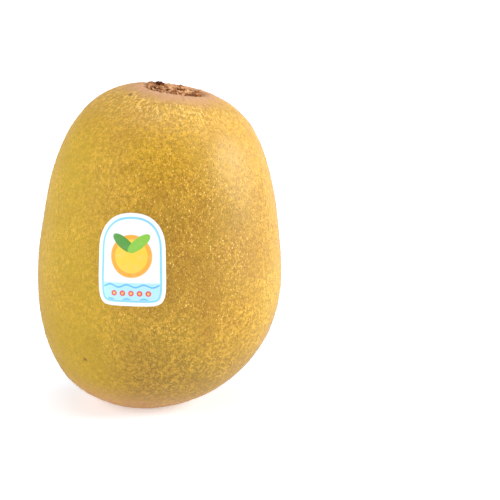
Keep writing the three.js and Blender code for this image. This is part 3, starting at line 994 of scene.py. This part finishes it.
# Colour, place, half width and half height, and turn of each oval, the lowest one first
OVALS = (
    ("EE9C1A", (0.0, -1.6), (5.2, 5.2), 0.0),
    ("F4BC22", (0.0, -1.6), (4.1, 4.1), 0.0),
    ("428A24", (-1.9, 1.5), (3.4, 1.35), -0.65),
    ("7CB62E", (1.9, 1.5), (3.4, 1.35), 0.65),
)
DOTS = tuple((code, (across, -10.6), (radius, radius), 0.0)
             for across in (-4.2, -2.1, 0.0, 2.1, 4.2)
             for code, radius in (("D63A50", 0.7), ("F7C23A", 0.3)))
# How soft the edges are: millimetres, and for an oval the share of its size
BAND_SOFTNESS = 0.08
PANEL_SOFTNESS = 0.1
OVAL_SOFTNESS = 0.06
# The paper's faint greyness, its waves and its grain
GREYNESS = {"colour": "B9BDBD", "strength": 0.12, "noise": (1.8, 3.0, 0.5), "edges": (0.45, 0.8)}
PAPER_BUMPS = ({"wavelength": 2.4, "height": 0.08, "strength": 0.5},
               {"wavelength": 0.3, "height": 0.01, "strength": 0.4})


def band(paint, value, low, high):
    """1 where the value lies between low and high."""
    rise = paint.step(value, low - BAND_SOFTNESS, low + BAND_SOFTNESS)
    return paint.product(rise, paint.step(value, high + BAND_SOFTNESS, high - BAND_SOFTNESS))


def oval(paint, across, up, place, size, turn):
    """1 inside an oval about a place."""
    x, y = paint.math("SUBTRACT", across, place[0]), paint.math("SUBTRACT", up, place[1])
    wide, high = size
    level = paint.math("ADD", paint.product(x, math.cos(turn) / wide),
                       paint.product(y, math.sin(turn) / wide))
    rise = paint.math("ADD", paint.product(y, math.cos(turn) / high),
                      paint.product(x, -math.sin(turn) / high))
    square = paint.math("ADD", paint.product(level, level), paint.product(rise, rise))
    return paint.step(square, 1 + OVAL_SOFTNESS, 1 - OVAL_SOFTNESS)


def lower_panel(paint, shade, inset, across, up):
    """A tinted panel low on the label, with wavy lines across it."""
    within = paint.step(inset, PANEL["inset"] - PANEL_SOFTNESS, PANEL["inset"] + PANEL_SOFTNESS)
    below = paint.step(up, PANEL["top"] + PANEL_SOFTNESS, PANEL["top"] - PANEL_SOFTNESS)
    panel = paint.product(below, within)
    shade = paint.mix(panel, shade, colour(PANEL["colour"]))
    wave = paint.math("SINE", paint.product(across, LINES["closeness"]))
    level = paint.math("MULTIPLY_ADD", wave, LINES["swell"], up)
    for low in LINES["heights"]:
        line = paint.product(band(paint, level, low, low + LINES["width"]), panel)
        shade = paint.mix(line, shade, colour(LINES["colour"]))
    return shade


def label_paint():
    """White coated paper with a plain border, a disc with two leaves on it and a row of dots."""
    paint = Paint("kiwi_label", Roughness=0.32, Coat_Weight=0.15, Coat_Roughness=0.25)
    inset, across, up = (paint.attribute(name) for name in ("inset", "across", "up"))
    shade = paint.mix(band(paint, inset, *BORDER["inset"]), colour(PAPER), colour(BORDER["colour"]))
    shade = lower_panel(paint, shade, inset, across, up)
    for code, place, size, turn in OVALS + DOTS:
        shade = paint.mix(oval(paint, across, up, place, size, turn), shade, colour(code))
    shade = paint.mix(paint.attribute("front"), colour(PAPER), shade)
    grey = paint.step(paint.noise(*GREYNESS["noise"]), *GREYNESS["edges"])
    grey = paint.product(grey, GREYNESS["strength"])
    shade = paint.mix(grey, shade, colour(GREYNESS["colour"]))
    normal = None
    for part in PAPER_BUMPS:
        normal = paint.bump(paint.noise(part["wavelength"]), part["height"], part["strength"], normal)
    return paint.finish(Base_Color=shade, Normal=normal)


# Camera, light and floor

CAMERA = {"lens": 177.2, "sensor": 36.0, "distance": 620.0, "elevation": 12.5}
AIM = (24.81, 0.0, -0.41)  # from the fruit's middle


def aim_camera():
    data = bpy.data.cameras.new("camera")
    data.lens = CAMERA["lens"]
    data.sensor_width = CAMERA["sensor"]
    camera = add_object("camera", data)
    bpy.context.scene.camera = camera
    elevation = math.radians(CAMERA["elevation"])
    back = Vector((0, -math.cos(elevation), math.sin(elevation)))
    camera.location = (Vector(PLACE + AIM) + back * CAMERA["distance"]) * MM
    camera.rotation_euler = (-back).to_track_quat("-Z", "Y").to_euler()


# Area lights in metres and watts, and the strength of the white world
LIGHTS = (
    {"name": "right_box", "place": (0.60, -0.05, 0.26), "size": 0.30, "power": 4.2},
    {"name": "left_box", "place": (-0.57, -0.24, 0.30), "size": 0.50, "power": 2.5},
    {"name": "top_box", "place": (0.0, -0.05, 0.70), "size": 0.50, "power": 2.0},
)
WORLD_STRENGTH = 0.25


def add_lights():
    middle = Vector(cad_low + cad_high) / 2
    for light in LIGHTS:
        data = bpy.data.lights.new(light["name"], "AREA")
        data.size = light["size"]
        data.energy = light["power"]
        lamp = add_object(light["name"], data)
        lamp.location = light["place"]
        lamp.rotation_euler = (middle - lamp.location).to_track_quat("-Z", "Y").to_euler()
    world = bpy.data.worlds.new("studio")
    world.use_nodes = True
    world.node_tree.nodes["Background"].inputs["Color"].default_value = (1, 1, 1, 1)
    world.node_tree.nodes["Background"].inputs["Strength"].default_value = WORLD_STRENGTH
    bpy.context.scene.world = world


# The colour that floor and wall glow in
GLOW = "FBFCFF"
# Floor: half its width in metres, and its glow, which grows with distance in millimetres to keep it white
FLOOR = {"half": 3.0, "colour": "EEF3FE"}
FLOOR_GLOW = {"reach": (60.0, 500.0), "gain": 0.54, "least": 0.4}
# Wall round the floor: metres, the strength of its glow, and two faintly different whites
BACKDROP = {"radius": 2.9, "height": 0.55, "sides": 96, "glow": 0.95}
CLOUDY = {"wavelength": 400.0, "detail": 1.0, "colours": ("F4F6FA", "FBFBFC")}


def add_floor():
    half = FLOOR["half"]
    corners = [(-half, -half, 0), (half, -half, 0), (half, half, 0), (-half, half, 0)]
    floor = add_mesh("floor", corners, [(0, 1, 2, 3)])
    paint = Paint("floor", Base_Color=colour(FLOOR["colour"]), Roughness=0.8, Emission_Color=colour(GLOW))
    far = paint.step(paint.distance(paint.place, (0, 0, 0)), *FLOOR_GLOW["reach"])
    glow = paint.math("MULTIPLY_ADD", far, FLOOR_GLOW["gain"], FLOOR_GLOW["least"])
    floor.data.materials.append(paint.finish(Emission_Strength=glow))


def add_backdrop():
    """A low white wall all round, so that low views have no grey horizon."""
    turn = FULL_TURN * np.arange(BACKDROP["sides"]) / BACKDROP["sides"]
    ring = BACKDROP["radius"] * np.stack([np.cos(turn), np.sin(turn)], -1)
    points = [(x, y, z) for z in (0.0, BACKDROP["height"]) for x, y in ring.tolist()]
    sides = range(BACKDROP["sides"])
    faces = [(a, b, b + len(sides), a + len(sides)) for a, b in zip(sides, [*sides[1:], 0])]
    wall = add_mesh("backdrop", points, faces)
    paint = Paint("backdrop", Roughness=0.9, Emission_Color=colour(GLOW), Emission_Strength=BACKDROP["glow"])
    clouds = paint.noise(CLOUDY["wavelength"], CLOUDY["detail"])
    cloudy = paint.mix(clouds, *(colour(code) for code in CLOUDY["colours"]))
    wall.data.materials.append(paint.finish(Base_Color=cloudy))


# Putting it together

aim_camera()
add_lights()
add_floor()
add_backdrop()

fine_skin().data.materials.append(skin_paint())
hair_material = hair_paint()
for number in range(HAIR_PIECES):
    points, faces = hairs(number)
    hair = piece(f"kiwi_hairs_{number + 1}", points, faces, "kiwi_skin")
    give(hair, "tip", np.arange(len(points)) % SPIKE_POINTS == SPIKE_SIDES)
    hair.data.materials.append(hair_material)
fine_calyx().data.materials.append(dry_paint("kiwi_calyx", "38190C", "925630", "E8B682"))
fine_styles().data.materials.append(dry_paint("kiwi_styles", "2A1A10", "6A4830", "A8845C"))
fine_label().data.materials.append(label_paint())

scene = bpy.context.scene
scene.view_settings.view_transform = "Standard"
